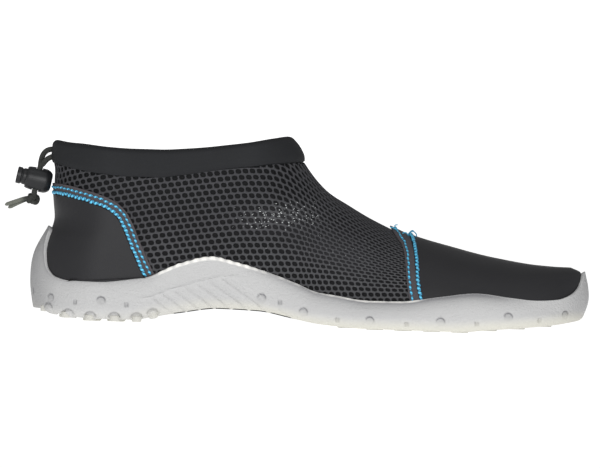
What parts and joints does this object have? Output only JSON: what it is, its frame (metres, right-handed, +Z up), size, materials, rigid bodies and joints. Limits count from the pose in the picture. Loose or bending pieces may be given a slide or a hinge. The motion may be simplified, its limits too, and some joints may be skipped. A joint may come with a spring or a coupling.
{
  "type": "water shoe",
  "caption": "Slip-on water shoe, left: mesh upper with sewn toe cap and heel counter, moulded rubber cup sole, folded collar with a drawcord and sprung cord lock.",
  "frame": {"origin": "on the ground, under the middle of the sole's outline", "axes": "+X towards the toe, +Y towards the wearer's outer side, +Z up"},
  "size_m": [0.2986, 0.1064, 0.0964],
  "materials": {
    "moulded_rubber": "matt, fine stipple",
    "spacer_mesh": "open knit",
    "laminated_cloth": "smooth, soft sheen",
    "seam_trim": "woven tape",
    "insole_foam": "brushed",
    "braided_cord": "braided",
    "lock_plastic": "satin"
  },
  "bodies": {
    "shoe": {"outsole": "moulded_rubber", "insole": "insole_foam", "upper": "spacer_mesh", "collar_band": "laminated_cloth", "toe_cap": "laminated_cloth", "vamp_tape": "seam_trim", "heel_counter": "laminated_cloth", "counter_binding": "seam_trim", "drawcord_inner": "braided_cord", "drawcord_outer": "braided_cord", "cord_knot": "braided_cord", "cord_tail_inner": "braided_cord", "cord_tail_outer": "braided_cord", "lock_barrel": "lock_plastic"},
    "plunger": {"lock_plunger": "lock_plastic"}
  },
  "joints": [
    {"name": "plunger_press", "type": "slide", "parent": "shoe", "child": "plunger", "axis": [0.9799, 0, -0.1994], "range_m": [0, 0.003], "stiffness_N_per_m": 600, "springref_m": -0.003}
  ]
}
